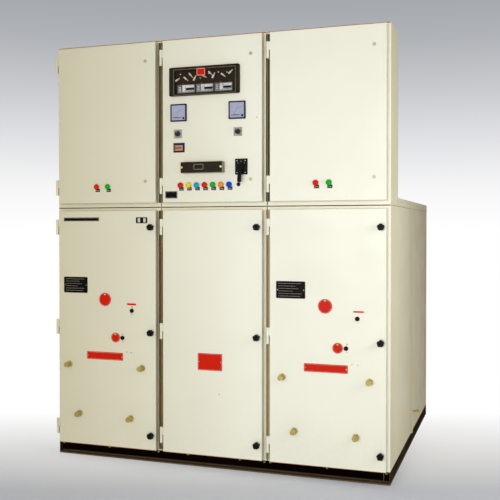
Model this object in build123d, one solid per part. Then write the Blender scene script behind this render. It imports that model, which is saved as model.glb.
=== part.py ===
from build123d import *
import math
import os

# Ring main unit: three sheet steel cubicles side by side on one channel base.
# Sizes are in millimetres. X runs to the right seen from the front, the front
# faces -Y and Z is up. The origin is on the floor, midway between the
# foundation bolt holes.

# Bays and overall form
left_bay_width = 660
centre_bay_width = 620
right_bay_width = 660
bay_gap = 5
body_depth = 1700
base_height = 70
split_height = 1447
body_top = 2385
upper_depth = 262
sheet = 2
seat_gap = 0.3

# Base of rolled channels
channel_reach = 40
channel_web = 5
channel_flange = 7
channel_root = 5
foundation_hole = 14
foundation_inset_x = 100
foundation_inset_y = 17

# Folded front frames round the doorways
stile_width = 60
frame_return = 20
fold_radius = 1.5

# Walls, covers and lids
rear_cover_depth = 100
lid_height = 46
floor_sheet = 3
seam_position = 855
seam_width = 56
seam_rise = 8
seam_flat = 20

# Doors are folded pans with a lip round the back
door_proud = 40
door_gap = 5
door_left_margin = 23
door_right_margin = 17
door_lip = 15
door_edge_radius = 3
upper_door_top_margin = 14
upper_door_foot_margin = 24
lower_door_top_margin = 19
lower_door_foot_margin = 6

# Lift-off hinges
hinge_inset = 93
hinge_offset = 10
hinge_axis_proud = 34
barrel_radius = 8
barrel_half = 44
barrel_play = 0.5
pin_radius = 4
pin_play = 0.05
pin_rise = 34
leaf = 4

# Door fastening knobs
knob_inset = 25
knob_top_inset = 95
knob_middle_drop = 12
knob_foot_inset = 85
knob_radius = 18
knob_height = 22
knob_lobes = 5
knob_flute = 8
knob_flute_depth = 2.4
knob_collar = 8
knob_collar_radius = 9
knob_stud_radius = 4
knob_hole_play = 0.4
knob_stud_length = 30

# Upper door locks
lock_inset = 62
lock_top_inset = 105
lock_foot_inset = 121
lock_radius = 9
lock_rim = 3
lock_barrel_radius = 7
lock_barrel_length = 24
lock_slot = 3

# Levels of the instruments, as shares of the height from the split to the top
relay_level = 0.7335
meter_level = 0.5533
selector_level = 0.4296
control_level = 0.2271
lamp_level = 0.1258

# Indicator lamps, in a row below the control switch
lamp_bezel_radius = 15
lamp_bezel = 5
lamp_lens_radius = 12
lamp_lens_rise = 9
lamp_neck_radius = 11
lamp_neck_length = 45
lamp_pair_spacing = 71
lamp_pair_start = 275
lamp_row_count = 7
lamp_row_spacing = 47.7
lamp_row_start = 133

# Relay case near the top of the centre upper door
relay_x = 276
relay_width = 409
relay_rise = 156
relay_proud = 20
relay_corner = 8
relay_window_width = 350
relay_window_rise = 125
relay_window_shift = 5
relay_window_drop = 5
relay_recess = 14
relay_rear_width = 376
relay_rear_rise = 132
relay_rear_depth = 150
relay_unit_count = 3
relay_unit_width = 100
relay_unit_rise = 44
relay_unit_depth = 9
relay_unit_spacing = 109.5
relay_unit_drop = 41

# Panel meters below the relay
meter_places = (122, 465)
meter_size = 96
meter_proud = 9
meter_corner = 4
meter_frame = 7
meter_recess = 2.5
meter_can_radius = 38
meter_can_length = 50

# Selector switches below the meters
selector_places = (117, 469)
selector_plate = 48
selector_thickness = 3
selector_neck_radius = 10
selector_body = 42
selector_body_depth = 55
selector_knob_radius = 15
selector_knob_height = 18
selector_grip = 7
selector_shaft = 3
shaft_play = 0.05
shaft_length = 14

# Control switch with pistol grip, below the selectors
control_x = 489
control_width = 70
control_rise = 86
control_thickness = 7
control_body = 60
control_body_depth = 100
control_neck_radius = 14
grip_hub_radius = 17
grip_hub_height = 20
grip_shaft = 5
grip_length = 96
grip_width = 20
grip_thickness = 18
grip_lean = 8

# Test terminal block, level with the control switch
test_x = 270
test_width = 244
test_rise = 60
test_proud = 40
test_corner = 5
test_groove = 6

# Swing covers over the operating handle holes
cover_high_x = 326
cover_high_height = 920
cover_high_radius = 38
cover_low_x = 393
cover_low_height = 704
cover_low_radius = 28
cover_thickness = 3
cover_pivot_inset = 9
cover_rivet_radius = 3
cover_rivet_head = 5
cover_rivet_rise = 2
cover_rivet_play = 0.1
handle_hole_high = 22
handle_hole_low = 14

# Key operated interlocks
key_high_x = 496
key_high_height = 860
key_low_x = 437
key_low_height = 704
key_radius = 12
key_rise = 6
key_barrel_radius = 9
key_barrel_length = 40
key_slot_width = 3
key_slot_length = 11

# Hexagon bolts with lock nuts on the outer lower doors: place on the bay and turn
bolt_places = ((94, 538, 20), (561, 538, 35), (161, 255, 50), (490, 248, 5))
bolt_nut_across = 32
bolt_nut = 16
bolt_shank_radius = 10
bolt_shank = 7
bolt_head_across = 27
bolt_head = 23
bolt_chamfer = 2

# Earth stud on the right side
earth_gap = 57
earth_height = 183
earth_radius = 6
earth_length = 48
earth_nut_start = 22
earth_nut_across = 19
earth_nut_thickness = 10
earth_washer_radius = 14
earth_washer = 2.5

# Derived places
bay_widths = (left_bay_width, centre_bay_width, right_bay_width)
body_width = sum(bay_widths) + 2 * bay_gap
left = -body_width / 2
right = body_width / 2
front = -body_depth / 2
rear = body_depth / 2
bay_starts = (left, left + left_bay_width + bay_gap, right - right_bay_width)
bays = [(start, start + width) for start, width in zip(bay_starts, bay_widths)]
bay_names = ("left", "centre", "right")
door_front = front - door_proud
door_back = front - door_gap
hinge_y = front - hinge_axis_proud
seam_y = front + seam_position

# Levels of the instruments on the centre upper door
upper_rise = body_top - split_height
relay_height = split_height + relay_level * upper_rise
meter_height = split_height + meter_level * upper_rise
selector_height = split_height + selector_level * upper_rise
control_height = split_height + control_level * upper_rise
lamp_height = split_height + lamp_level * upper_rise


def block(x0, x1, y0, y1, z0, z1):
    """A plain block between two corners."""
    middle = Pos((x0 + x1) / 2, (y0 + y1) / 2, (z0 + z1) / 2)
    return middle * Box(x1 - x0, y1 - y0, z1 - z0)


def on_door(x, z):
    """Place on a door's front face, with the local Z pointing out at the viewer."""
    return Pos(x, door_front, z) * Rot(90, 0, 0)


def rod(radius, low, high):
    """A round bar along the local Z."""
    return Pos(0, 0, (low + high) / 2) * Cylinder(radius, high - low)


def slab(width, rise, low, high, corner):
    """A plate along the local Z with rounded corners."""
    face = RectangleRounded(width, rise, corner)
    return Pos(0, 0, low) * extrude(face, high - low)


def channel(length):
    """A rolled channel along X: its web's back is at Y=0 and its toes point to -Y."""
    inner = Rectangle(channel_reach - channel_web, base_height - 2 * channel_flange)
    section = Pos(-channel_reach / 2, base_height / 2) * Rectangle(channel_reach, base_height)
    section -= Pos(-(channel_reach + channel_web) / 2, base_height / 2) * inner
    roots = section.vertices().filter_by_position(Axis.X, -channel_web - 0.01, -channel_web + 0.01)
    section = fillet(roots, channel_root)
    return extrude(Plane.YZ * section, length)


def foundation_holes(y):
    """Drills for the two foundation holes in a channel's lower flange."""
    reach = body_width / 2 - foundation_inset_x
    drill = Cylinder(foundation_hole / 2, 3 * channel_flange)
    return [Pos(side * reach, y, 0) * drill for side in (-1, 1)]


def base_front_channel():
    run = channel(body_width - 2 * channel_reach)
    bar = Pos(left + channel_reach, front + channel_reach, 0) * run
    return bar - foundation_holes(front + foundation_inset_y)


def base_rear_channel():
    run = channel(body_width - 2 * channel_reach)
    bar = Pos(right - channel_reach, rear - channel_reach, 0) * Rot(0, 0, 180) * run
    return bar - foundation_holes(rear - foundation_inset_y)


def base_side_channels():
    run = channel(body_depth)
    return [Pos(left, front, 0) * Rot(0, 0, 90) * run, Pos(right, rear, 0) * Rot(0, 0, -90) * run]


def base_cross_channels():
    """One channel under each joint between two bays."""
    run = channel(body_depth - 2 * channel_reach)
    joints = [end + bay_gap / 2 for start, end in bays[:-1]]
    centre = channel_reach / 2
    return [Pos(x - centre, front + channel_reach, 0) * Rot(0, 0, 90) * run for x in joints]


def floor_plates():
    top = base_height + floor_sheet
    near = front + sheet
    far = rear - rear_cover_depth
    return [block(x0 + sheet, x1 - sheet, near, far, base_height, top) for x0, x1 in bays]


def wall_runs(x):
    """The two flat sheets of one cubicle side, which meet at the seam."""
    runs = ((front + sheet, seam_y), (seam_y, rear - rear_cover_depth))
    return [block(x, x + sheet, y0, y1, base_height, split_height) for y0, y1 in runs]


def inner_walls():
    """Sides of the cubicles that face each other across the bay gaps."""
    lines = (bays[0][1] - sheet, bays[1][0], bays[1][1] - sheet, bays[2][0])
    return [wall for x in lines for wall in wall_runs(x)]


def frame_bar(length):
    """A front frame bar along Z: its face is at Y=0 and its return runs back at its inner edge."""
    face = Pos(stile_width / 2, sheet / 2) * Rectangle(stile_width, sheet)
    back = Pos(stile_width - sheet / 2, frame_return / 2) * Rectangle(sheet, frame_return)
    section = face + back
    bend = section.vertices().sort_by_distance((stile_width, 0, 0))[0]
    return extrude(fillet(bend, fold_radius), length)


def doorways():
    """Each doorway's bay edges and the levels of its foot and top."""
    levels = ((base_height, split_height), (split_height, body_top))
    return [(x0, x1, low, high) for low, high in levels for x0, x1 in bays]


def front_stiles():
    """Upright bars, notched at their ends for the floor and roof sheets that reach the face."""
    stiles = []
    for x0, x1, low, high in doorways():
        bar = frame_bar(high - low)
        foot = floor_sheet if low == base_height else sheet
        head = 0 if low == base_height else sheet
        for z0, z1 in ((-sheet, foot), (high - low - head, high - low + sheet)):
            bar -= block(sheet, stile_width + sheet, sheet, frame_return + sheet, z0, z1)
        stiles.append(Pos(x0, front, low) * bar)
        stiles.append(Pos(x1, front, low) * mirror(bar, about=Plane.YZ))
    return stiles


def front_rails():
    """Sills and heads between the stiles."""
    rails = []
    for x0, x1, low, high in doorways():
        bar = frame_bar(x1 - x0 - 2 * stile_width)
        rails.append(Pos(x1 - stile_width, front, low) * Rot(0, -90, 0) * bar)
        rails.append(Pos(x0 + stile_width, front, high) * Rot(0, 90, 0) * bar)
    return rails


def seam_strips():
    """Folded cover strips over the seams of the two outer sides."""
    half = seam_width / 2
    flat = seam_flat / 2
    wall = sheet * (half - flat) / seam_rise
    under = seam_rise - sheet
    outside = Polyline((-half, 0), (-flat, seam_rise), (flat, seam_rise), (half, 0), close=True)
    inside = Polyline((wall - half, 0), (-flat, under), (flat, under), (half - wall, 0), close=True)
    strip = extrude(make_face(outside) - make_face(inside), split_height - base_height)
    sides = ((left, 90), (right, -90))
    return [Pos(x, seam_y, base_height) * Rot(0, 0, turn) * strip for x, turn in sides]


def rear_covers():
    """Shallow pans that close the rear of each cubicle."""
    near = rear - rear_cover_depth
    low = base_height + sheet
    high = split_height - sheet
    covers = []
    for x0, x1 in bays:
        pan = block(x0, x1, near, rear, base_height, split_height)
        pan = fillet(pan.faces().sort_by(Axis.Y)[-1].edges(), door_edge_radius)
        covers.append(pan - block(x0 + sheet, x1 - sheet, near, rear - sheet, low, high))
    return covers


def lid_trays():
    """Inverted trays over the deep part of each cubicle, behind the upper boxes."""
    near = front + upper_depth
    top = split_height + lid_height
    trays = []
    for x0, x1 in bays:
        tray = block(x0, x1, near, rear, split_height, top)
        rim = tray.faces().sort_by(Axis.Z)[-1].edges().sort_by(Axis.Y)[1:]
        tray = fillet(rim, door_edge_radius)
        inner = (x0 + sheet, x1 - sheet, near + sheet, rear - sheet, split_height, top - sheet)
        trays.append(tray - block(*inner))
    return trays


def upper_side_walls():
    far = front + upper_depth - sheet
    lines = [x for x0, x1 in bays for x in (x0, x1 - sheet)]
    return [block(x, x + sheet, front + sheet, far, split_height, body_top) for x in lines]


def upper_back_walls():
    far = front + upper_depth
    return [block(x0, x1, far - sheet, far, split_height, body_top) for x0, x1 in bays]


def upper_level_sheets(low):
    """The roof or floor sheet of each upper box."""
    far = front + upper_depth - sheet
    return [block(x0 + sheet, x1 - sheet, front + sheet, far, low, low + sheet) for x0, x1 in bays]


def hinge_heights(low, high, count):
    """Middles of a door's hinges, the outer ones inset from its ends."""
    first = low + hinge_inset
    step = (high - low - 2 * hinge_inset) / (count - 1)
    return [first + index * step for index in range(count)]


def frame_hinge(x, z):
    """The frame's half of a hinge: a leaf, the lower barrel and the pin."""
    barrel = rod(barrel_radius, -barrel_half, 0)
    pin = rod(pin_radius, 0, pin_rise)
    plate = block(-leaf / 2, leaf / 2, 0, hinge_axis_proud, -barrel_half, 0)
    return Pos(x, hinge_y, z) * (barrel + pin + plate)


def door_hinge(x, z, edge):
    """The door's half of a hinge: the bored upper barrel and the leaf to the door's edge."""
    barrel = rod(barrel_radius, barrel_play, barrel_half)
    plate = block(0, edge - x, -leaf / 2, leaf / 2, barrel_play, barrel_half)
    bore = rod(pin_radius + pin_play, 0, pin_rise + barrel_play)
    return Pos(x, hinge_y, z) * (barrel + plate - bore)


def door_box(bay, upper):
    """A door's outline: its left, right, foot and top."""
    x0, x1 = bays[bay]
    if upper:
        low = split_height + upper_door_foot_margin
        high = body_top - upper_door_top_margin
    else:
        low = base_height + lower_door_foot_margin
        high = split_height - lower_door_top_margin
    return x0 + door_left_margin, x1 - door_right_margin, low, high


def door(bay, upper, cuts):
    """A folded pan with a lip round its back, its halves of the hinges and its cut-outs."""
    x0, x1, low, high = door_box(bay, upper)
    pan = block(x0, x1, door_front, door_back, low, high)
    pan = fillet(pan.faces().sort_by(Axis.Y)[0].edges(), door_edge_radius)
    levels = (door_front + sheet, door_back - sheet)
    pan -= block(x0 + sheet, x1 - sheet, *levels, low + sheet, high - sheet)
    mouth = (x0 + door_lip, x1 - door_lip, door_back - 2 * sheet, door_back)
    pan -= block(*mouth, low + door_lip, high - door_lip)
    for z in hinge_heights(low, high, 2 if upper else 3):
        pan += door_hinge(bays[bay][0] + hinge_offset, z, x0)
    for cut in cuts:
        pan -= cut
    return pan


def hinge_leaves():
    """The frame halves of all hinges."""
    halves = []
    for bay, (x0, x1) in enumerate(bays):
        for upper in (False, True):
            span = door_box(bay, upper)
            for z in hinge_heights(span[2], span[3], 2 if upper else 3):
                halves.append(frame_hinge(x0 + hinge_offset, z))
    return halves


def knob_places(bay):
    """Top, middle and foot knob of a lower door."""
    x0, x1, low, high = door_box(bay, False)
    x = x1 - knob_inset
    middle = (low + high) / 2 - knob_middle_drop
    return [(x, high - knob_top_inset), (x, middle), (x, low + knob_foot_inset)]


def star_knob():
    """A five lobed hand knob on a collar and a captive stud."""
    grip_start = seat_gap + knob_collar
    grip = rod(knob_radius, grip_start, grip_start + knob_height)
    flute = rod(knob_flute, grip_start, grip_start + knob_height)
    for turn in range(knob_lobes):
        angle = (turn + 0.5) * 360 / knob_lobes + 90
        grip -= Rot(0, 0, angle) * Pos(knob_radius + knob_flute - knob_flute_depth, 0, 0) * flute
    grip = chamfer(grip.faces().sort_by(Axis.Z)[-1].edges(), 2)
    collar = rod(knob_collar_radius, seat_gap, grip_start)
    stud = rod(knob_stud_radius, -knob_stud_length, seat_gap)
    return grip + collar + stud


def lock_places(bay):
    x0, x1, low, high = door_box(bay, True)
    return [(x1 - lock_inset, high - lock_top_inset), (x1 - lock_inset, low + lock_foot_inset)]


def door_lock():
    """A round key operated lock with a slotted insert."""
    rim = chamfer(rod(lock_radius, 0, lock_rim).edges().sort_by(Axis.Z)[-1], 1)
    barrel = rod(lock_barrel_radius, -lock_barrel_length, 0)
    reach = lock_radius / 2
    slot = block(-lock_slot / 2, lock_slot / 2, -reach, reach, lock_rim / 2, 2 * lock_rim)
    return rim + barrel - slot


def lamp_places(bay):
    x0 = bays[bay][0]
    if bay == 1:
        count = lamp_row_count
        start = lamp_row_start
        step = lamp_row_spacing
    else:
        count = 2
        start = lamp_pair_start
        step = lamp_pair_spacing
    return [(x0 + start + index * step, lamp_height) for index in range(count)]


def lamp():
    """An indicator lamp: bezel, domed lens and the neck behind the door."""
    bezel = chamfer(rod(lamp_bezel_radius, 0, lamp_bezel).edges().sort_by(Axis.Z)[-1], 1.5)
    lens = rod(lamp_lens_radius, lamp_bezel, lamp_bezel + lamp_lens_rise)
    lens = fillet(lens.edges().sort_by(Axis.Z)[-1], lamp_lens_rise * 0.8)
    return bezel + lens + rod(lamp_neck_radius, -lamp_neck_length, 0)


def relay_case():
    """The relay's bezel with its sunken window, and the case behind the door."""
    bezel = slab(relay_width, relay_rise, 0, relay_proud, relay_corner)
    bezel = fillet(bezel.faces().sort_by(Axis.Z)[-1].edges(), 2)
    floor = relay_proud - relay_recess
    window = slab(relay_window_width, relay_window_rise, floor, relay_proud, 3)
    bezel -= Pos(relay_window_shift, -relay_window_drop, 0) * window
    case = Box(relay_rear_width, relay_rear_rise, relay_rear_depth)
    case = Pos(0, 0, -relay_rear_depth / 2) * case
    return on_door(bays[1][0] + relay_x, relay_height) * (bezel + case)


def relay_units():
    """Plug-in modules on the floor of the relay's window."""
    floor = relay_proud - relay_recess
    unit = slab(relay_unit_width, relay_unit_rise, floor, floor + relay_unit_depth, 2)
    middle = (relay_unit_count - 1) / 2
    place = on_door(bays[1][0] + relay_x + relay_window_shift, relay_height - relay_unit_drop)
    steps = [(index - middle) * relay_unit_spacing for index in range(relay_unit_count)]
    return [place * Pos(step, 0, 0) * unit for step in steps]


def panel_meter():
    """A square meter with a sunken dial and a round can behind the door."""
    bezel = slab(meter_size, meter_size, 0, meter_proud, meter_corner)
    bezel = chamfer(bezel.faces().sort_by(Axis.Z)[-1].edges(), 1)
    dial = meter_size - 2 * meter_frame
    bezel -= slab(dial, dial, meter_proud - meter_recess, meter_proud, 2)
    return bezel + rod(meter_can_radius, -meter_can_length, 0)


def selector_switch():
    """A square plate, the neck through the door and the switch body behind it."""
    plate = slab(selector_plate, selector_plate, 0, selector_thickness, 2)
    plate = chamfer(plate.faces().sort_by(Axis.Z)[-1].edges(), 0.8)
    neck = rod(selector_neck_radius, -sheet, 0)
    body = Box(selector_body, selector_body, selector_body_depth)
    body = Pos(0, 0, -sheet - selector_body_depth / 2) * body
    bore = rod(selector_shaft + shaft_play, -shaft_length, selector_thickness)
    return plate + neck + body - bore


def selector_knob():
    """A round knob with a finger grip across it, on its shaft."""
    start = selector_thickness + seat_gap
    middle = start + selector_knob_height / 2
    skirt = rod(selector_knob_radius, start, middle)
    reach = 2 * selector_knob_radius - 1
    grip = slab(selector_grip, reach, middle, start + selector_knob_height, 2)
    return skirt + grip + rod(selector_shaft, 1 - shaft_length, start)


def control_switch():
    """The control switch's plate, neck and body."""
    plate = slab(control_width, control_rise, 0, control_thickness, 4)
    plate = chamfer(plate.faces().sort_by(Axis.Z)[-1].edges(), 1.5)
    neck = rod(control_neck_radius, -sheet, 0)
    body = Box(control_body, control_body, control_body_depth)
    body = Pos(0, 0, -sheet - control_body_depth / 2) * body
    bore = rod(grip_shaft + shaft_play, -shaft_length, control_thickness)
    return on_door(bays[1][0] + control_x, control_height) * (plate + neck + body - bore)


def control_grip():
    """The pistol grip, which hangs down from its hub and leans away from the door."""
    start = control_thickness + seat_gap
    hub = rod(grip_hub_radius, start, start + grip_hub_height)
    hub = chamfer(hub.edges().sort_by(Axis.Z)[-1], 2)
    grip = fillet(Box(grip_width, grip_length, grip_thickness).edges(), 5)
    centre = start + grip_hub_height + grip_thickness / 2 - 4
    grip = Pos(0, grip_width / 2 - grip_length / 2, centre) * Rot(-grip_lean, 0, 0) * grip
    shaft = rod(grip_shaft, 1 - shaft_length, start)
    return on_door(bays[1][0] + control_x, control_height) * (hub + grip + shaft)


def test_block():
    """A long terminal block with a raised cover between two sunken ends."""
    body = slab(test_width, test_rise, 0, test_proud, test_corner)
    body = fillet(body.faces().sort_by(Axis.Z)[-1].edges(), 3)
    for side in (-1, 1):
        groove = Box(test_groove / 2, test_rise, test_groove / 2)
        body -= Pos(side * (test_width / 2 - test_rise / 2), 0, test_proud) * groove
    return on_door(bays[1][0] + test_x, control_height) * body


def cover_places(bay):
    """Middle and radius of a door's two swing covers, the higher one first."""
    x0 = bays[bay][0]
    high = (x0 + cover_high_x, cover_high_height, cover_high_radius)
    low = (x0 + cover_low_x, cover_low_height, cover_low_radius)
    return [high, low]


def swing_cover(radius):
    """A disc that hangs from a rivet near its top edge."""
    top = seat_gap + cover_thickness
    disc = chamfer(rod(radius, seat_gap, top).edges().sort_by(Axis.Z)[-1], 0.8)
    rivet = rod(cover_rivet_radius, -2 * sheet, seat_gap)
    rivet += rod(cover_rivet_head, top, top + cover_rivet_rise)
    return disc + Pos(0, radius - cover_pivot_inset, 0) * rivet


def key_places(bay):
    x0 = bays[bay][0]
    return [(x0 + key_high_x, key_high_height), (x0 + key_low_x, key_low_height)]


def key_lock():
    """A key interlock: its round face with the slot, and the barrel behind the door."""
    face = chamfer(rod(key_radius, 0, key_rise).edges().sort_by(Axis.Z)[-1], 1.5)
    barrel = rod(key_barrel_radius, -key_barrel_length, 0)
    return face + barrel - Pos(0, 0, key_rise) * Box(key_slot_width, key_slot_length, key_rise)


def hexagon(across, low, high):
    """A hexagon bar along the local Z, its corners turned down at the outer end."""
    bar = Pos(0, 0, low) * extrude(RegularPolygon(across / 2, 6, major_radius=False), high - low)
    corner = across / math.sqrt(3)
    turned = chamfer(rod(corner, low, high).edges().sort_by(Axis.Z)[-1], bolt_chamfer)
    return bar & turned


def door_bolt():
    """A lock nut against the door, and the bolt's head beyond a short length of shank."""
    head_start = bolt_nut + bolt_shank
    nut = hexagon(bolt_nut_across, 0, bolt_nut)
    shank = rod(bolt_shank_radius, bolt_nut, head_start)
    return nut + shank + hexagon(bolt_head_across, head_start, head_start + bolt_head)


def bolt_spots(bay):
    """Where the outer lower doors carry their bolts."""
    return [on_door(bays[bay][0] + x, z) * Rot(0, 0, turn) for x, z, turn in bolt_places]


def earth_stud():
    """A stud on the right side with a nut between two washers."""
    stud = chamfer(rod(earth_radius, 0, earth_length).edges().sort_by(Axis.Z)[-1], 1)
    washer = rod(earth_washer_radius, earth_nut_start, earth_nut_start + earth_washer)
    nut_start = earth_nut_start + earth_washer
    nut = hexagon(earth_nut_across, nut_start, nut_start + earth_nut_thickness)
    cap = Pos(0, 0, earth_washer + earth_nut_thickness) * washer
    place = Pos(right, seam_y + seam_width / 2 + earth_gap, earth_height)
    return place * Rot(0, 90, 0) * (stud + washer + nut + cap)


def lower_door_cuts(bay):
    """Holes through a lower door for its knobs and, at the sides, its covers and keys."""
    stud_hole = rod(knob_stud_radius + knob_hole_play, -2 * sheet, sheet)
    cuts = [on_door(x, z) * stud_hole for x, z in knob_places(bay)]
    if bay == 1:
        return cuts
    key_hole = rod(key_barrel_radius + knob_hole_play, -2 * sheet, sheet)
    cuts += [on_door(x, z) * key_hole for x, z in key_places(bay)]
    rivet_hole = rod(cover_rivet_radius + cover_rivet_play, -2 * sheet, sheet)
    for (x, z, radius), hole in zip(cover_places(bay), (handle_hole_high, handle_hole_low)):
        cuts.append(on_door(x, z) * rod(hole, -2 * sheet, sheet))
        cuts.append(on_door(x, z + radius - cover_pivot_inset) * rivet_hole)
    return cuts


def upper_door_cuts(bay):
    """Holes through an upper door for its locks, lamps and instruments."""
    lock_hole = rod(lock_barrel_radius + knob_hole_play, -2 * sheet, sheet)
    lamp_hole = rod(lamp_neck_radius + knob_hole_play, -2 * sheet, sheet)
    cuts = [on_door(x, z) * lock_hole for x, z in lock_places(bay)]
    cuts += [on_door(x, z) * lamp_hole for x, z in lamp_places(bay)]
    if bay != 1:
        return cuts
    x0 = bays[1][0]
    play = 2 * knob_hole_play
    window = Box(relay_rear_width + play, relay_rear_rise + play, 4 * sheet)
    cuts.append(on_door(x0 + relay_x, relay_height) * window)
    can_hole = rod(meter_can_radius + knob_hole_play, -2 * sheet, sheet)
    cuts += [on_door(x0 + x, meter_height) * can_hole for x in meter_places]
    neck_hole = rod(selector_neck_radius + knob_hole_play, -2 * sheet, sheet)
    cuts += [on_door(x0 + x, selector_height) * neck_hole for x in selector_places]
    control_hole = rod(control_neck_radius + knob_hole_play, -2 * sheet, sheet)
    cuts.append(on_door(x0 + control_x, control_height) * control_hole)
    return cuts


def write(name, shape):
    """Write one sub-part, whose solids share a node when there are several."""
    solids = shape if isinstance(shape, list) else [shape]
    export_step(Compound(solids), f"parts/{name}.step")


os.makedirs("parts", exist_ok=True)

write("base_front_channel", base_front_channel())
write("base_rear_channel", base_rear_channel())
write("base_side_channels", base_side_channels())
write("base_cross_channels", base_cross_channels())
write("floor_plates", floor_plates())
write("left_wall", wall_runs(left))
write("right_wall", wall_runs(right - sheet))
write("inner_walls", inner_walls())
write("seam_strips", seam_strips())
write("front_stiles", front_stiles())
write("front_rails", front_rails())
write("rear_covers", rear_covers())
write("lid_trays", lid_trays())
write("upper_side_walls", upper_side_walls())
write("upper_back_walls", upper_back_walls())
write("upper_roofs", upper_level_sheets(body_top - sheet))
write("upper_floors", upper_level_sheets(split_height))
write("hinge_leaves", hinge_leaves())
write("earth_stud", earth_stud())

for bay, side in enumerate(bay_names):
    write(f"{side}_lower_door", door(bay, False, lower_door_cuts(bay)))
    write(f"{side}_upper_door", door(bay, True, upper_door_cuts(bay)))
    write(f"{side}_door_locks", [on_door(x, z) * door_lock() for x, z in lock_places(bay)])
    write(f"{side}_lamps", [on_door(x, z) * lamp() for x, z in lamp_places(bay)])
    for level, (x, z) in zip(("top", "middle", "foot"), knob_places(bay)):
        write(f"{side}_{level}_knob", on_door(x, z) * star_knob())

for bay, side in ((0, "left"), (2, "right")):
    for level, (x, z, radius) in zip(("high", "low"), cover_places(bay)):
        write(f"{side}_{level}_cover", on_door(x, z) * swing_cover(radius))
    write(f"{side}_key_locks", [on_door(x, z) * key_lock() for x, z in key_places(bay)])
    write(f"{side}_door_bolts", [place * door_bolt() for place in bolt_spots(bay)])

write("relay_case", relay_case())
write("relay_units", relay_units())
write("panel_meters", [on_door(bays[1][0] + x, meter_height) * panel_meter() for x in meter_places])
write("test_block", test_block())
write("control_switch", control_switch())
write("control_grip", control_grip())
selectors = [on_door(bays[1][0] + x, selector_height) for x in selector_places]
write("selector_switches", [place * selector_switch() for place in selectors])
for side, place in zip(("left", "right"), selectors):
    write(f"{side}_selector_knob", place * selector_knob())
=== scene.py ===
import math

import bmesh
import bpy
from bpy.props import FloatProperty, FloatVectorProperty, IntProperty, PointerProperty
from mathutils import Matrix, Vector


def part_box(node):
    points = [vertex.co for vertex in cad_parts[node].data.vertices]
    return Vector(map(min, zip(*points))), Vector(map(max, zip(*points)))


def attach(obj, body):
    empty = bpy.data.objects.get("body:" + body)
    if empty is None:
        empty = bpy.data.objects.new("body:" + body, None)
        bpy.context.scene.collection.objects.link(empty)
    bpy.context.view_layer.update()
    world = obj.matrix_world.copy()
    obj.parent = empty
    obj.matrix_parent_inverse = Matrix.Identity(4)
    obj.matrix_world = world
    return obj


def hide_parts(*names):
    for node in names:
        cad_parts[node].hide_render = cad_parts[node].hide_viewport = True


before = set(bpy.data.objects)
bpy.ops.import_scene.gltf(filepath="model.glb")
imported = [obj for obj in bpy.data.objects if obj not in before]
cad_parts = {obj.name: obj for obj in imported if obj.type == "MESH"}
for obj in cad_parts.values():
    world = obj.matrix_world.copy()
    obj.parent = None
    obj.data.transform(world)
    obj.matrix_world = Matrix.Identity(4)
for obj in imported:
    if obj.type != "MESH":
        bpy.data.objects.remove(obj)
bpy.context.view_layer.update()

bl_info = {
    "name": "Ring main unit dressing",
    "version": (1, 0, 0),
    "blender": (4, 5, 0),
    "location": "View3D > Sidebar > Switchgear",
    "description": "Paints and fits out the sheet steel cubicles of a ring main unit",
    "category": "Object",
}

MM = 0.001
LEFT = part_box("base_side_channels")[0][0]
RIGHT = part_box("base_side_channels")[1][0]
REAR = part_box("rear_covers")[1][1]
FRAME_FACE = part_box("front_stiles")[0][1]
KNOB_REACH = 30.3
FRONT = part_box("centre_foot_knob")[0][1] + KNOB_REACH * MM
SIDES = ("left", "centre", "right")
LEVELS = ("lower", "upper")
BAYS = ((0, 660), (665, 1285), (1290, 1950))
PANEL = "centre_upper_door"

LAMP_LEVEL = 1565
CONTROL_SWITCH = (1154, 1660)
SELECTOR_LEVEL = 1850
METER_LEVEL = 1966
TEST_BLOCK_LEVEL = 1661
LID_BOLT_LEVEL = 1473


def rgb(red, green, blue):
    """A screen colour of 0 to 255 as the linear numbers that Blender keeps."""
    parts = [c / 255 for c in (red, green, blue)]
    return tuple(c / 12.92 if c <= 0.04045 else ((c + 0.055) / 1.055) ** 2.4 for c in parts)


def colour(name, description, *screen):
    return FloatVectorProperty(
        name=name, description=description, default=rgb(*screen), size=3, min=0, max=1, subtype="COLOR"
    )


def length(name, description, millimetres):
    return FloatProperty(
        name=name, description=description, default=millimetres * MM, min=0, unit="LENGTH", subtype="DISTANCE"
    )


def power(name, description, watts):
    return FloatProperty(name=name, description=description, default=watts, min=0, unit="POWER")


class PaintColours(bpy.types.PropertyGroup):
    doors: colour("Doors", "Powder coat on the door pans", 240, 238, 218)
    # painted shade: the door and frame coats darken towards the left, in place of the light falling off there
    shade_on_left: colour("Shade on the left", "What the door coat fades to on the left", 212, 205, 172)
    frames: colour("Frames", "Powder coat on the front frames and hinges", 240, 235, 211)
    walls: colour("Walls", "Powder coat on walls, lids and rear covers", 228, 221, 182)
    # painted shade: the walls, lids and rear covers darken towards the rear, in place of the light falling
    # off along the sides
    painted_shade: colour("Walls in painted shade", "Powder coat on the walls towards the rear", 170, 154, 106)
    base: colour("Base", "Paint on the channel base", 9, 4, 2)
    enamel: colour("Enamel", "Red enamel on covers and plates", 208, 32, 8)


class FastenerSizes(bpy.types.PropertyGroup):
    screw_radius: length("Screw radius", "Head of a small screw", 3.2)
    screw_height: length("Screw height", "Rise of a small screw head", 1.6)
    cover_radius: length("Cover screw radius", "Head of a rear cover screw", 6)
    cover_height: length("Cover screw height", "Depth of a flush rear cover screw head", 0.35)
    nut_radius: length("Nut radius", "Hold-down nut, across its corners, halved", 6.5)
    nut_height: length("Nut height", "Thickness of a hold-down nut", 6)


class DialSizes(bpy.types.PropertyGroup):
    arc_radius: length("Arc radius", "Radius of a meter's scale", 48)
    tick: length("Tick", "Length of a scale mark", 3)
    divisions: IntProperty(
        name="Divisions", description="Marks on a meter's scale", default=25, min=5, max=60
    )


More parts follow.
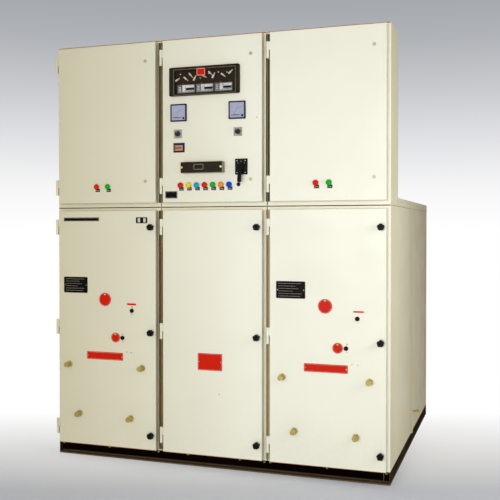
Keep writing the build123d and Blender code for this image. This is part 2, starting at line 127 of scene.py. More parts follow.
class StudioLight(bpy.types.PropertyGroup):
    key: power("Key", "Power of the large lamp in front", 183)
    side: power("Side", "Power of the lamp on the right", 15)
    sky: FloatProperty(name="Sky", description="Strength of the even light", default=0.42, min=0)


def option(group):
    return getattr(bpy.context.scene, group)


def linked(name, data):
    """A new object in the scene."""
    made = bpy.data.objects.new(name, data)
    bpy.context.scene.collection.objects.link(made)
    return made


# ---- shader building


def feed(tree, node, feeds):
    """Link each input to its socket, or set it to its value."""
    for name, value in feeds.items():
        if isinstance(value, bpy.types.NodeSocket):
            tree.links.new(value, node.inputs[name])
        else:
            node.inputs[name].default_value = value


def add(tree, kind, feeds=None, **properties):
    """A new node with its properties, fed."""
    made = tree.nodes.new(kind)
    for name, value in properties.items():
        setattr(made, name, value)
    feed(tree, made, feeds or {})
    return made


def maths(tree, operation, *values):
    """One sum of sockets and numbers."""
    return add(tree, "ShaderNodeMath", dict(enumerate(values)), operation=operation).outputs[0]


def shader(name):
    """A new material with its tree and principled shader."""
    made = bpy.data.materials.new(name)
    made.use_nodes = True
    return made, made.node_tree, made.node_tree.nodes["Principled BSDF"]


def spot_on_piece(tree):
    """The X, Y and Z of a point of the piece."""
    place = add(tree, "ShaderNodeTexCoord").outputs["Object"]
    return add(tree, "ShaderNodeSeparateXYZ", {"Vector": place}).outputs


def grain(tree, scale, detail, stretch=(1, 1, 1)):
    """Noise that stays with the piece."""
    place = add(tree, "ShaderNodeTexCoord").outputs["Object"]
    spot = add(tree, "ShaderNodeMapping", {"Vector": place, "Scale": stretch}).outputs["Vector"]
    feeds = {"Vector": spot, "Scale": scale, "Detail": detail}
    return add(tree, "ShaderNodeTexNoise", feeds).outputs["Fac"]


def between(tree, factor, low, high, start=0.3, end=0.7):
    """A number that follows the factor from low to high."""
    feeds = {"Value": factor, "From Min": start, "From Max": end, "To Min": low, "To Max": high}
    return add(tree, "ShaderNodeMapRange", feeds).outputs["Result"]


def blend_tones(tree, factor, stops):
    """A colour that runs through the stops, each a place from 0 to 1 and a colour."""
    ramp = add(tree, "ShaderNodeValToRGB", {"Fac": factor})
    points = ramp.color_ramp.elements
    while len(points) < len(stops):
        points.new(0.5)
    for point, (spot, tone) in zip(points, stops):
        point.position = spot
        point.color = (*tone, 1)
    return ramp.outputs["Color"]


def cover_tone(tree, factor, under, over):
    """The colour under, turned towards a flat one over it as the factor grows."""
    first, second, mixed = 6, 7, 2
    feeds = {"Factor": factor, first: under, second: (*over, 1)}
    return add(tree, "ShaderNodeMix", feeds, data_type="RGBA").outputs[mixed]


def relief(tree, skin, *layers):
    """Bumps one on another, each a height, its strength and its depth in metres."""
    last = {}
    for height, strength, depth in layers:
        feeds = {"Height": height, "Strength": strength, "Distance": depth, **last}
        last = {"Normal": add(tree, "ShaderNodeBump", feeds).outputs["Normal"]}
    tree.links.new(last["Normal"], skin.inputs["Normal"])


def shade(tone, amount):
    return tuple(min(1, c * amount) for c in tone)


def powder_coat(name, tone, rough, painted_shade, along, start, end, sheen=0.4):
    """Semi-gloss powder coat on sheet steel: fine peel, slow waves in the sheet, dust towards the floor.

    The painted shade is the darker tone it turns to from the start to the end along an axis, in metres, in
    place of light that falls off across the piece.
    """
    made, tree, skin = shader(name)
    spot = spot_on_piece(tree)
    tones = blend_tones(tree, grain(tree, 1.6, 3), ((0.3, shade(tone, 0.955)), (0.7, shade(tone, 1.02))))
    # painted shade: the coat darkens towards the painted shade tone along the axis
    tones = cover_tone(tree, between(tree, spot[along], 0, 1, start, end), tones, painted_shade)
    near_floor = between(tree, spot["Z"], 0.16, 0, 0.05, 0.42)
    speck = between(tree, grain(tree, 38, 4), 0.4, 1)
    tones = cover_tone(tree, maths(tree, "MULTIPLY", near_floor, speck), tones, shade(tone, 0.62))
    gloss = between(tree, grain(tree, 7, 4), rough - 0.05, rough + 0.07)
    feed(tree, skin, {"Base Color": tones, "Roughness": gloss, "Specular IOR Level": sheen})
    wave, peel = grain(tree, 2.2, 1), grain(tree, 520, 2)
    relief(tree, skin, (wave, 0.25, 0.012), (peel, 0.12, 0.0004))
    return made


def base_paint(name, tone):
    """Black paint on rolled channel, with dust in broad patches, and a lighter band along the lower flange
    that is dust and a painted highlight.
    """
    made, tree, skin = shader(name)
    dusty = grain(tree, 5, 6, (1, 1, 3))
    tones = blend_tones(tree, dusty, ((0.4, tone), (0.7, shade(tone, 2)), (0.95, rgb(48, 36, 24))))
    # dust and a painted highlight: the lowest 16 mm turn lighter, where the lower flange's top catches the
    # light
    flange_dust_and_highlight = between(tree, spot_on_piece(tree)["Z"], 0.8, 0, 0.006, 0.016)
    tones = cover_tone(tree, flange_dust_and_highlight, tones, rgb(112, 93, 70))
    gloss = between(tree, dusty, 0.4, 0.7)
    feed(tree, skin, {"Base Color": tones, "Roughness": gloss, "Specular IOR Level": 0})
    relief(tree, skin, (grain(tree, 60, 5), 0.35, 0.0008), (grain(tree, 340, 3), 0.2, 0.0003))
    return made


def plain_finish(name, mottle, stops, rough, bump, **constants):
    """Tones that follow a mottle, gloss that follows a grain with its two ends, and fine bumps."""
    made, tree, skin = shader(name)
    tones = blend_tones(tree, grain(tree, *mottle), stops)
    gloss, low, high = rough
    feed(tree, skin, {"Base Color": tones, "Roughness": between(tree, grain(tree, *gloss), low, high)})
    feed(tree, skin, {socket.replace("_", " "): value for socket, value in constants.items()})
    height, strength, depth = bump
    relief(tree, skin, (grain(tree, *height), strength, depth))
    return made


def enamel(name, tone, rough=0.3, worn=0.96):
    """Gloss paint or an engraved laminate with a faint mottle."""
    stops = ((0.35, shade(tone, worn)), (0.65, tone))
    gloss = ((90, 3), rough - 0.06, rough + 0.08)
    return plain_finish(name, (46, 4), stops, gloss, ((650, 2), 0.08, 0.0002), Specular_IOR_Level=0.06)


def yellow_zinc(name, straw):
    """Yellow passivated zinc, which runs from straw through green to pink."""
    stops = ((0.3, straw), (0.45, rgb(178, 162, 76)), (0.56, rgb(160, 154, 80)), (0.68, rgb(198, 136, 84)))
    gloss = ((120, 4), 0.28, 0.46)
    return plain_finish(name, (42, 3), stops, gloss, ((300, 3), 0.15, 0.0003), Metallic=0.25)


def plated(name, tone, rough=0.3, metal=1.0):
    """Plated or bare metal with fine tool marks and a little tarnish."""
    stops = ((0.3, shade(tone, 0.72)), (0.62, tone))
    gloss = ((60, 5), rough + 0.15, rough)
    return plain_finish(name, (60, 5), stops, gloss, ((500, 3, (1, 1, 6)), 0.15, 0.0002), Metallic=metal)


def moulded(name, tone, rough=0.42):
    """Moulded plastic with a fine spark-eroded skin."""
    stops = ((0.35, shade(tone, 0.8)), (0.7, shade(tone, 1.15)))
    gloss = ((70, 3), rough - 0.06, rough + 0.08)
    return plain_finish(name, (24, 4), stops, gloss, ((900, 2), 0.3, 0.0002), Specular_IOR_Level=0.1)


def lens_plastic(name, tone):
    """Tinted translucent lens, brighter where the reflector shows through."""
    stops = ((0.35, shade(tone, 0.8)), (0.65, shade(tone, 1.1)))
    shine = {"Specular_IOR_Level": 0.1, "Coat_Weight": 0.12, "Coat_Roughness": 0.08}
    return plain_finish(name, (110, 2), stops, ((150, 2), 0.12, 0.22), ((260, 1), 0.1, 0.0003), **shine)


PLAIN_FINISHES = {
    # painted light: a lighter copy of the base paint for the side channels, in place of the light that falls
    # on them
    "dusty_base_paint": (base_paint, (48, 37, 26)),
    "black_laminate": (enamel, (16, 10, 6), 0.42, 0.8),
    "pale_engraving": (enamel, (206, 200, 186), 0.5),
    "dial_card": (enamel, (170, 173, 194), 0.55),
    "dial_ink": (enamel, (58, 58, 78), 0.6),
    "copper_field": (enamel, (196, 142, 106), 0.4),
    "joint_shadow": (enamel, (120, 106, 72), 0.7),
    # painted shade: dark and pale bands on the frame in the gaps between bays, in place of the shade there
    "gap_band": (enamel, (92, 74, 36), 0.7),
    "gap_dark": (enamel, (68, 56, 28), 0.7),
    "gap_pale": (enamel, (164, 148, 112), 0.7),
    "split_shadow": (enamel, (30, 21, 8), 0.7),
    # painted shade and reflected light: the warm line along the top of the frame and the feet of the lower
    # doors
    "bare_edge": (enamel, (176, 118, 60), 0.6),
    "black_plastic": (moulded, (14, 10, 6)),
    "brown_plastic": (moulded, (42, 33, 20), 0.5),
    "umber_plastic": (moulded, (62, 54, 42), 0.3),
    "navy_plastic": (moulded, (34, 38, 62), 0.35),
    "olive_plastic": (moulded, (150, 146, 124), 0.5),
    "switch_black": (moulded, (12, 14, 18), 0.45),
    "rubber": (moulded, (40, 36, 30), 0.7),
    "white_plastic": (moulded, (206, 206, 204), 0.4),
    "grey_plastic": (moulded, (142, 140, 136), 0.45),
    "yellow_zinc": (yellow_zinc, (206, 182, 94)),
    "lock_metal": (plated, (196, 180, 138), 0.4, 0.4),
    "satin_steel": (plated, (170, 166, 158), 0.45, 0.5),
    "trim_brass": (plated, (134, 124, 88), 0.5, 0.3),
    "brass": (plated, (222, 192, 112), 0.28),
    "steel": (plated, (206, 204, 198), 0.3),
    "galvanised": (plated, (176, 178, 176), 0.42, 0.85),
    "red_lens": (lens_plastic, (218, 26, 4)),
    "yellow_lens": (lens_plastic, (240, 214, 18)),
    "cyan_lens": (lens_plastic, (12, 168, 196)),
    "green_lens": (lens_plastic, (8, 170, 42)),
    "orange_lens": (lens_plastic, (250, 146, 20)),
    "blue_lens": (lens_plastic, (4, 66, 212)),
}
FINISHES = {}


def finish(name):
    """A finish by name, made when it is first wanted."""
    if name not in FINISHES:
        paint = option("rmu_paint")
        left_shade = tuple(paint.shade_on_left)
        chosen = {
            # painted shade: doors and frames darken towards the left
            "door_coat": (powder_coat, paint.doors, 0.36, left_shade, "X", 0.2, -0.975),
            "frame_coat": (powder_coat, paint.frames, 0.36, left_shade, "X", 0.45, -1.3),
            # painted shade: walls darken towards the rear
            "wall_coat": (powder_coat, paint.walls, 0.42, tuple(paint.painted_shade), "Y", -0.6, 0.7, 0.15),
            "base_paint": (base_paint, paint.base),
            "red_enamel": (enamel, paint.enamel),
        }
        if name in chosen:
            recipe, tone, *rest = chosen[name]
            FINISHES[name] = recipe(name, tuple(tone), *rest)
        else:
            recipe, screen, *rest = PLAIN_FINISHES[name]
            FINISHES[name] = recipe(name, rgb(*screen), *rest)
    return FINISHES[name]


def coat_node(name, material):
    """Give a CAD node its finish."""
    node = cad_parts[name]
    if not node.material_slots:
        node.data.materials.append(finish(material))
    for holder in node.material_slots:
        holder.material = finish(material)


# ---- mesh building, in millimetres: x from the body's left, z from the floor, out from the door front


def on_front(x, z, out):
    return Vector((LEFT + x * MM, FRONT - out * MM, z * MM))


def skin_rings(mesh, rings, material=0, closed=False):
    """Join rings of points, each with as many, and cap both ends."""
    loops = [[mesh.verts.new(point) for point in ring] for ring in rings]
    count = len(loops[0])
    faces = []
    for first, second in zip(loops, loops[1:] + (loops[:1] if closed else [])):
        for i in range(count):
            j = (i + 1) % count
            faces.append(mesh.faces.new((first[i], first[j], second[j], second[i])))
    if not closed:
        faces.append(mesh.faces.new(loops[0][::-1]))
        faces.append(mesh.faces.new(loops[-1]))
    for face in faces:
        face.material_index = material


def extent(name):
    """A CAD node's box in the front's millimetres, as x0, x1, z0 and z1."""
    low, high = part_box(name)
    return (low[0] - LEFT) / MM, (high[0] - LEFT) / MM, low[2] / MM, high[2] / MM


def oblong(x0, x1, z0, z1):
    return [(x0, z0), (x1, z0), (x1, z1), (x0, z1)]


def around(x, z, radius, angle):
    """The point at a radius and an angle from another, as x and z."""
    return x + radius * math.cos(angle), z + radius * math.sin(angle)


def rounded(x0, x1, z0, z1, radius, steps=4):
    """Outline of a rectangle with rounded corners, as x and z."""
    corners = ((x1 - radius, z1 - radius, 0), (x0 + radius, z1 - radius, 90))
    corners += ((x0 + radius, z0 + radius, 180), (x1 - radius, z0 + radius, 270))
    turns = [90 * i / steps for i in range(steps + 1)]
    return [around(x, z, radius, math.radians(start + turn)) for x, z, start in corners for turn in turns]


def circle(x, z, radius, out, sides):
    return [on_front(*around(x, z, radius, math.tau * i / sides), out) for i in range(sides)]


def nested(x0, x1, z0, z1, radius, steps, place=on_front):
    """Rounded rectangles one in another, from pairs of how far in and how far out."""
    rings = []
    for inset, out in steps:
        outline = rounded(x0 + inset, x1 - inset, z0 + inset, z1 - inset, max(radius - inset, 0.05))
        rings.append([place(x, z, out) for x, z in outline])
    return rings


def plate(mesh, x0, x1, z0, z1, low, high, radius=1.5, bevel=0.4, material=0, place=on_front):
    """A plate with rounded corners and a bevelled front edge."""
    steps = ((0, low), (0, high - bevel), (bevel, high))
    skin_rings(mesh, nested(x0, x1, z0, z1, radius, steps, place), material)


def border(mesh, x0, x1, z0, z1, width, low, high, material=0, radius=2):
    """A flat frame that runs round a rectangle."""
    steps = ((0, low), (0, high), (width, high), (width, low))
    skin_rings(mesh, nested(x0, x1, z0, z1, radius, steps), material, closed=True)


def turned(mesh, x, z, profile, sides=32):
    """A turned piece that points at the viewer, from pairs of radius and how far out."""
    skin_rings(mesh, [circle(x, z, radius, out, sides) for radius, out in profile])


def line(mesh, start, end, width, low, high, material=0):
    """A thin raised line between two points of the front."""
    along = Vector(end) - Vector(start)
    across = Vector((-along.y, along.x)).normalized() * width / 2
    corners = [Vector(start) + across, Vector(end) + across, Vector(end) - across, Vector(start) - across]
    skin_rings(mesh, [[on_front(x, z, out) for x, z in corners] for out in (low, high)], material)


def piece(name, mesh, body, *finishes, stands_for=()):
    """Close a piece: normals outwards, finishes on, and riding on its body."""
    bmesh.ops.recalc_face_normals(mesh, faces=mesh.faces)
    data = bpy.data.meshes.new(name)
    mesh.to_mesh(data)
    mesh.free()
    for polygon in data.polygons:
        polygon.use_smooth = True
    data.set_sharp_from_angle(angle=math.radians(32))
    made = linked(name, data)
    for finish_name in finishes:
        data.materials.append(finish(finish_name))
    if stands_for:
        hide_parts(*stands_for)
    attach(made, body)


def plates(name, body, finishes, *rows):
    """A piece made of plates, each row a plate's numbers."""
    mesh = bmesh.new()
    for row in rows:
        plate(mesh, *row)
    piece(name, mesh, body, *finishes)


def rounds(name, body, material, places, profile, sides):
    """A piece made of one turned shape at several places."""
    mesh = bmesh.new()
    for x, z in places:
        turned(mesh, x, z, profile, sides)
    piece(name, mesh, body, material)


# ---- Geometry Nodes for what repeats


def vector(tree, **parts):
    return add(tree, "ShaderNodeCombineXYZ", parts).outputs["Vector"]


def node_tree(name, inputs):
    """An empty geometry tree with a mesh in and out and the named inputs, each a type and a name."""
    tree = bpy.data.node_groups.new(name, "GeometryNodeTree")
    tree.interface.new_socket("Geometry", in_out="INPUT", socket_type="NodeSocketGeometry")
    for label, kind in inputs.items():
        tree.interface.new_socket(label, in_out="INPUT", socket_type=f"NodeSocket{kind}")
    tree.interface.new_socket("Geometry", in_out="OUTPUT", socket_type="NodeSocketGeometry")
    return tree, add(tree, "NodeGroupInput").outputs


def finish_tree(tree, given, instances):
    """Real geometry, one material and the way out."""
    real = add(tree, "GeometryNodeRealizeInstances", {"Geometry": instances}).outputs["Geometry"]
    paint = add(tree, "GeometryNodeSetMaterial", {"Geometry": real, "Material": given["Material"]})
    add(tree, "NodeGroupOutput", {"Geometry": paint.outputs["Geometry"]})
    return tree


def screw_tree():
    """A screw at every point: a tapered head on its washer, with a driver slot across it."""
    wanted = {"Radius": "Float", "Height": "Float", "Sides": "Int", "Facing": "Rotation", "Taper": "Float"}
    tree, given = node_tree("screws", {**wanted, "Material": "Material"})
    radius, height = given["Radius"], given["Height"]
    wide = maths(tree, "MULTIPLY", radius, 1.3)
    thin = maths(tree, "MULTIPLY", height, 0.3)
    slim = maths(tree, "MULTIPLY", radius, 0.28)
    tip = maths(tree, "MULTIPLY", radius, given["Taper"])
    shape = {"Vertices": given["Sides"], "Radius Top": tip, "Radius Bottom": radius, "Depth": height}
    head = add(tree, "GeometryNodeMeshCone", shape).outputs["Mesh"]
    shape = {"Vertices": 20, "Radius": wide, "Depth": thin}
    washer = add(tree, "GeometryNodeMeshCylinder", shape).outputs["Mesh"]
    size = vector(tree, X=wide, Y=slim, Z=thin)
    slot = add(tree, "GeometryNodeMeshCube", {"Size": size}).outputs["Mesh"]
    raised = {"Geometry": slot, "Translation": vector(tree, Z=height)}
    slot = add(tree, "GeometryNodeTransform", raised).outputs["Geometry"]
    join = add(tree, "GeometryNodeJoinGeometry")
    for part in (head, washer, slot):
        tree.links.new(part, join.inputs["Geometry"])
    points = add(tree, "GeometryNodeMeshToPoints", {"Mesh": given["Geometry"]}).outputs["Points"]
    spread = {"Points": points, "Instance": join.outputs["Geometry"], "Rotation": given["Facing"]}
    screws_there = add(tree, "GeometryNodeInstanceOnPoints", spread).outputs["Instances"]
    return finish_tree(tree, given, screws_there)


def tick_tree():
    """Marks along an arc about each point, longer at every fifth."""
    wanted = {"Radius": "Float", "Count": "Int", "Length": "Float", "Width": "Float"}
    wanted.update({"Start angle": "Float", "Sweep": "Float", "Material": "Material"})
    tree, given = node_tree("scale_marks", wanted)
    bend = {"Resolution": given["Count"], "Radius": given["Radius"]}
    bend.update({"Start Angle": given["Start angle"], "Sweep Angle": given["Sweep"]})
    arc = add(tree, "GeometryNodeCurveArc", bend, mode="RADIUS").outputs["Curve"]
    points = add(tree, "GeometryNodeCurveToPoints", {"Curve": arc}, mode="EVALUATED").outputs
    width = given["Width"]
    size = vector(tree, X=width, Y=given["Length"], Z=width)
    mark = add(tree, "GeometryNodeMeshCube", {"Size": size}).outputs["Mesh"]
    in_five = maths(tree, "MODULO", add(tree, "GeometryNodeInputIndex").outputs["Index"], 5)
    longer = maths(tree, "MULTIPLY_ADD", maths(tree, "LESS_THAN", in_five, 0.5), 0.8, 1)
    scale = vector(tree, X=1, Y=longer, Z=1)
    spread = {"Points": points["Points"], "Instance": mark, "Rotation": points["Rotation"], "Scale": scale}
    dial = add(tree, "GeometryNodeInstanceOnPoints", spread).outputs["Instances"]
    dial = add(tree, "GeometryNodeRealizeInstances", {"Geometry": dial}).outputs["Geometry"]
    centres = add(tree, "GeometryNodeMeshToPoints", {"Mesh": given["Geometry"]}).outputs["Points"]
    upright = {"Points": centres, "Instance": dial, "Rotation": (math.pi / 2, 0, 0)}
    dials = add(tree, "GeometryNodeInstanceOnPoints", upright).outputs["Instances"]
    return finish_tree(tree, given, dials)


TREES = {}


def grow(name, body, make_tree, spots, values, material):
    """Run a tree on a set of points and keep what it makes as a plain mesh on its body."""
    if make_tree not in TREES:
        TREES[make_tree] = make_tree()
    tree = TREES[make_tree]
    data = bpy.data.meshes.new(name + "_points")
    data.from_pydata([tuple(spot) for spot in spots], [], [])
    seed = linked(name + "_points", data)
    change = seed.modifiers.new("grow", "NODES")
    change.node_group = tree
    sockets = {item.name: item.identifier for item in tree.interface.items_tree if item.in_out == "INPUT"}
    for label, value in {**values, "Material": finish(material)}.items():
        change[sockets[label]] = value
    seen = seed.evaluated_get(bpy.context.evaluated_depsgraph_get())
    grown = bpy.data.meshes.new_from_object(seen)
    seed.modifiers.remove(change)
    bpy.data.objects.remove(seed)
    if not grown.polygons:
        raise RuntimeError(f"{name}: the tree made nothing")
    grown.name = name
    made = linked(name, grown)
    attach(made, body)


FACING = {
    "front": (math.pi / 2, 0, 0),
    "rear": (-math.pi / 2, 0, 0),
    "right": (0, math.pi / 2, 0),
    "left": (0, -math.pi / 2, 0),
    "down": (math.pi, 0, 0),
}


def screws(name, body, spots, facing, radius, height, sides, taper, material):
    """Small fasteners at these points, all facing one way."""
    values = {"Radius": radius, "Height": height, "Sides": sides, "Facing": FACING[facing], "Taper": taper}
    grow(name, body, screw_tree, spots, values, material)


def front_screws(name, body, places, out=0.4, radius=None, height=None, material="brass"):
    """Round screw heads on the front, in the panel's sizes unless others are given."""
    sizes = option("rmu_fasteners")
    spots = [on_front(x, z, out) for x, z in places]
    radius, height = radius or sizes.screw_radius, height or sizes.screw_height
    screws(name, body, spots, "front", radius, height, 20, 0.75, material)


class RMU_OT_sheet_metal(bpy.types.Operator):
    """Powder coat on doors, frames, walls, lids and rear covers, galvanised floors and black base"""

    bl_idname = "rmu.sheet_metal"
    bl_label = "Sheet metal"

    def execute(self, context):
        coats = {
            "door_coat": [f"{side}_{level}_door" for side in SIDES for level in LEVELS],
            "frame_coat": ["front_stiles", "front_rails", "hinge_leaves"],
            "wall_coat": ["left_wall", "right_wall", "inner_walls", "seam_strips", "rear_covers"],
            "base_paint": ["base_front_channel", "base_rear_channel", "base_cross_channels"],
            # painted light: the side channels get the lighter copy of the base paint
            "dusty_base_paint": ["base_side_channels"],
            "galvanised": ["floor_plates"],
        }
        upper = [f"upper_{part}" for part in ("side_walls", "back_walls", "roofs", "floors")]
        coats["wall_coat"] += ["lid_trays", *upper]
        for material, names in coats.items():
            for name in names:
                coat_node(name, material)
        return {"FINISHED"}


class RMU_OT_joints(bpy.types.Operator):
    """Joint lines, closed channel ends, bands of painted shade beside the hinges, painted lines of shade and
    reflected light along the doors' feet and the top, and the doors' seals
    """

    bl_idname = "rmu.joints"
    bl_label = "Joints and seals"

    def execute(self, context):
        self.side_lines()
        self.end_plates()
        self.gap_bands()
        self.front_lines()
        for side in SIDES:
            self.foot_edge(side)
        for side in SIDES:
            for level in LEVELS:
                self.seal(f"{side}_{level}_door")
        return {"FINISHED"}

    def side_lines(self):
        """Thin lines on both sides where the walls meet the rear covers and the lids."""
        cover, wall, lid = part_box("rear_covers"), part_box("right_wall"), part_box("lid_trays")
        wide, slim, rise = 1.6 * MM, 1 * MM, 0.3 * MM
        runs = (
            (cover[0][1] - wide, cover[0][1] + wide, wall[0][2], wall[1][2]),
            (FRAME_FACE + 2 * MM, REAR - 3 * MM, wall[1][2] - slim, wall[1][2] + slim),
            (lid[0][1] - slim, lid[0][1] + slim, lid[0][2], lid[1][2]),
        )
        mesh = bmesh.new()
        for x, outwards in ((LEFT, -rise), (RIGHT, rise)):
            for run in runs:
                ring = oblong(*run)
                skin_rings(mesh, [[Vector((x + out, y, z)) for y, z in ring] for out in (0, outwards)])
        piece("sheet_joint_lines", mesh, "root", "joint_shadow")

    def end_plates(self):
        """Plates that close the ends of the side channels."""
        low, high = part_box("base_front_channel")
        width, depth, flange = 36 * MM, 4 * MM, 6 * MM
        mesh = bmesh.new()
        for x in (LEFT + 1 * MM, RIGHT - 1 * MM - width):
            for y in (FRAME_FACE + 31 * MM, REAR - 31 * MM - depth):
                ring = oblong(x, x + width, y, y + depth)
                ends = (low[2] + flange, high[2] - flange)
                skin_rings(mesh, [[Vector((*corner, z)) for corner in ring] for z in ends])
        piece("base_end_plates", mesh, "root", "base_paint")

    def gap_bands(self):
        """Painted shade: dark bands on the frame to both sides of the gap between two bays, in place of the
        shade in the gap.
        """
        bands = (
            ("centre", 644.8, 660, "gap_band", "gap_band"),
            ("right", 1279.5, 1285, "gap_pale", "gap_dark"),
        )
        gap, hinge_margin = 5.5, 21
        for side, start, stop, *tones in bands:
            for level, tone in zip(LEVELS, tones):
                x0, _, foot, top = extent(f"{side}_{level}_door")
                mesh = bmesh.new()
                self.strip(mesh, stop + gap, x0 + hinge_margin, foot, top, 0.3)
                self.strip(mesh, start, stop, foot, top, 0.3)
                piece(f"{side}_{level}_band", mesh, "root", tone)

    def front_lines(self):
        """The dark line at the split between lower and upper boxes, and a painted line of shade and reflected
        light along the top.
        """
        split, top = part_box("upper_floors")[0][2] / MM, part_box("front_stiles")[1][2] / MM
        lines = (
            ("split_line", split - 3.4, split + 1.6, "split_shadow"),
            ("top_edge", top - 7, top - 1, "bare_edge"),
        )
        for name, low, high, tone in lines:
            mesh = bmesh.new()
            for x0, x1 in BAYS:
                self.strip(mesh, x0 + 1, x1 - 1, low, high, 0.4)
            piece(name, mesh, "root", tone)

    def strip(self, mesh, x0, x1, z0, z1, rise):
        """A flat strip on the front of the frame."""
        ring = oblong(x0, x1, z0, z1)
        frame_out = (FRONT - FRAME_FACE) / MM
        skin_rings(mesh, [[on_front(x, z, frame_out + out) for x, z in ring] for out in (0, rise)])

    def foot_edge(self, side):
        """A painted line of shade and reflected light along the foot of a lower door."""
        door = f"{side}_lower_door"
        x0, x1, foot, _ = extent(door)
        edge = (x0 + 24, x1 - 3, foot + 0.2, foot + 2.6, -2, 0.3, 0.6, 0.3)
        plates(f"{side}_door_foot_edge", door, ["bare_edge"], edge)

    def seal(self, name):
        """The rubber strip behind a door, where it meets the frame."""
        x0, x1, z0, z1 = extent(name)
        edge, hinge_side, corner = 4, 21, 8
        rings = []
        for inset, out in ((0, -35), (1.5, -38.8), (5.5, -38.8), (7, -35)):
            sides = (x0 + hinge_side + inset, x1 - edge - inset, z0 + edge + inset, z1 - edge - inset)
            rings.append([on_front(x, z, out) for x, z in rounded(*sides, corner - inset, 5)])
        mesh = bmesh.new()
        skin_rings(mesh, rings, closed=True)
        piece(f"{name}_seal", mesh, name, "rubber")


class RMU_OT_lamps(bpy.types.Operator):
    """Indicator lamps with their coloured lenses, and the small plates below them"""

    bl_idname = "rmu.lamps"
    bl_label = "Lamps"

    def execute(self, context):
        first, pitch = 798, 47.7
        tones = ("red", "yellow", "cyan", "red", "green", "orange", "blue")
        rows = {
            "left": ((275, "red"), (346, "green")),
            "centre": [(first + pitch * place, tone) for place, tone in enumerate(tones)],
            "right": ((1565, "red"), (1636, "green")),
        }
        for side, row in rows.items():
            self.bodies(side, row)
            self.lenses(side, row)
            self.labels(side, row)
        return {"FINISHED"}

    def bodies(self, side, row):
        """The bezel on the door and the neck behind it."""
        mesh = bmesh.new()
        for x, _ in row:
            turned(mesh, x, LAMP_LEVEL, ((11, -45), (11, 0)), 24)
            turned(mesh, x, LAMP_LEVEL, ((15, 0), (15, 3.4), (14.2, 4.2), (13.9, 4.2)), 40)
        piece(f"{side}_lamp_bodies", mesh, f"{side}_upper_door", "steel", stands_for=(f"{side}_lamps",))

    def lenses(self, side, row):
        """The domed lenses, one piece for each colour."""
        dome = ((15, 4), (16.2, 7), (16, 10), (14.4, 13), (11.2, 15.6), (6.6, 17.4), (1.4, 18.2))
        for tone in dict.fromkeys(tone for _, tone in row):
            places = [(x, LAMP_LEVEL) for x, same in row if same == tone]
            rounds(f"{side}_{tone}_lens", f"{side}_upper_door", f"{tone}_lens", places, dome, 40)

    def labels(self, side, row):
        """The small label plates below the lamps."""
        mesh = bmesh.new()
        for x, _ in row:
            plate(mesh, x - 9, x + 18, LAMP_LEVEL - 29, LAMP_LEVEL - 11, 0, 1.6, 1.2)
            plate(mesh, x - 5, x + 14, LAMP_LEVEL - 22.5, LAMP_LEVEL - 20, 1.5, 1.9, 0.6, 0.2, 1)
        piece(f"{side}_lamp_plates", mesh, f"{side}_upper_door", "black_laminate", "pale_engraving")


class RMU_OT_relay(bpy.types.Operator):
    """The relay's bezel trim, its three modules' fronts and the plugs above them"""

    bl_idname = "rmu.relay"
    bl_label = "Relay"

    def execute(self, context):
        coat_node("relay_case", "brown_plastic")
        coat_node("relay_units", "grey_plastic")
        mesh = bmesh.new()
        border(mesh, 764, 1128, 2059, 2201, 1.8, 19.8, 20.6, 0, 4)
        piece("relay_trim", mesh, PANEL, "trim_brass")
        first = extent("relay_units")[0]
        units = [first + step for step in (0, 109.5, 219)]
        self.unit_fronts(units)
        # these small parts stand on the relay's floor, 6 mm out from the door
        flag = ((3.2, 6), (3.2, 10), (2.4, 11.4), (0.6, 11.8))
        rounds("relay_flags", PANEL, "red_lens", [(x + 30, 2124) for x in units], flag, 16)
        self.plugs()
        cap = ((3.4, 6), (3.4, 9), (2.6, 10), (0.8, 10.3))
        caps = ((800, 2176), (862, 2171), (918, 2150), (968, 2172), (1024, 2176), (1074, 2172), (1100, 2180))
        rounds("relay_terminals", PANEL, "white_plastic", caps, cap, 16)
        mesh = bmesh.new()
        plate(mesh, 902, 951, 2161, 2201, 8, 22, 2, 0.5, 0)
        border(mesh, 903, 950, 2162, 2200, 2, 21.9, 22.3, 1, 2)
        piece("relay_tag", mesh, PANEL, "red_enamel", "pale_engraving")
        return {"FINISHED"}

    def unit_fronts(self, units):
        """On each module: three keys on a dark field, a tall key, and three bars with pegs on the lowest."""
        dark, pale = 0, 1
        mesh = bmesh.new()
        for x in units:
            plate(mesh, x + 3, x + 25, 2078, 2112, 15, 15.6, 1, 0.2, dark)
            for row in range(3):
                plate(mesh, x + 6, x + 22, 2081 + 10 * row, 2087 + 10 * row, 15.5, 16.2, 0.8, 0.2, pale)
            plate(mesh, x + 31, x + 47, 2079, 2113, 15, 19, 1.5, 0.5, pale)
            plate(mesh, x + 50, x + 97, 2099, 2112, 15, 17, 1, 0.3, pale)
            plate(mesh, x + 50, x + 97, 2087, 2097, 15, 16.4, 1, 0.3, dark)
            plate(mesh, x + 50, x + 97, 2076, 2084, 15, 15.8, 1, 0.3, pale)
            for peg in range(5):
                plate(mesh, x + 54 + 9 * peg, x + 58 + 9 * peg, 2077.5, 2082.5, 15.7, 16.6, 0.5, 0.2, dark)
        piece("relay_unit_fronts", mesh, PANEL, "black_plastic", "white_plastic")

    def plugs(self):
        """Slim two-pin plugs that lie on the relay's floor, each at a place and a lean in degrees."""
        plugs = ((783, 2147, 30), (833, 2150, -40), (886, 2150, 62), (941, 2158, -28), (996, 2158, 62))
        plugs += ((1052, 2158, -38), (862, 2168, -50), (978, 2172, -45), (1094, 2172, 40))
        mesh = bmesh.new()
        for x, z, lean in plugs:
            self.plug(mesh, x, z, math.radians(lean))
        piece("relay_plugs", mesh, PANEL, "brass", "white_plastic")

    def plug(self, mesh, x, z, lean):
        along = (math.cos(lean), math.sin(lean))
        across = (-along[1], along[0])

        def place(dx, dz, out):
            return on_front(x + dx * along[0] + dz * across[0], z + dx * along[1] + dz * across[1], out)

        plate(mesh, -15, 5, -4, 4, 6, 14, 2, 0.8, 1, place)
        plate(mesh, 5, 18, -2.6, 2.6, 6, 12, 1.2, 0.6, 0, place)


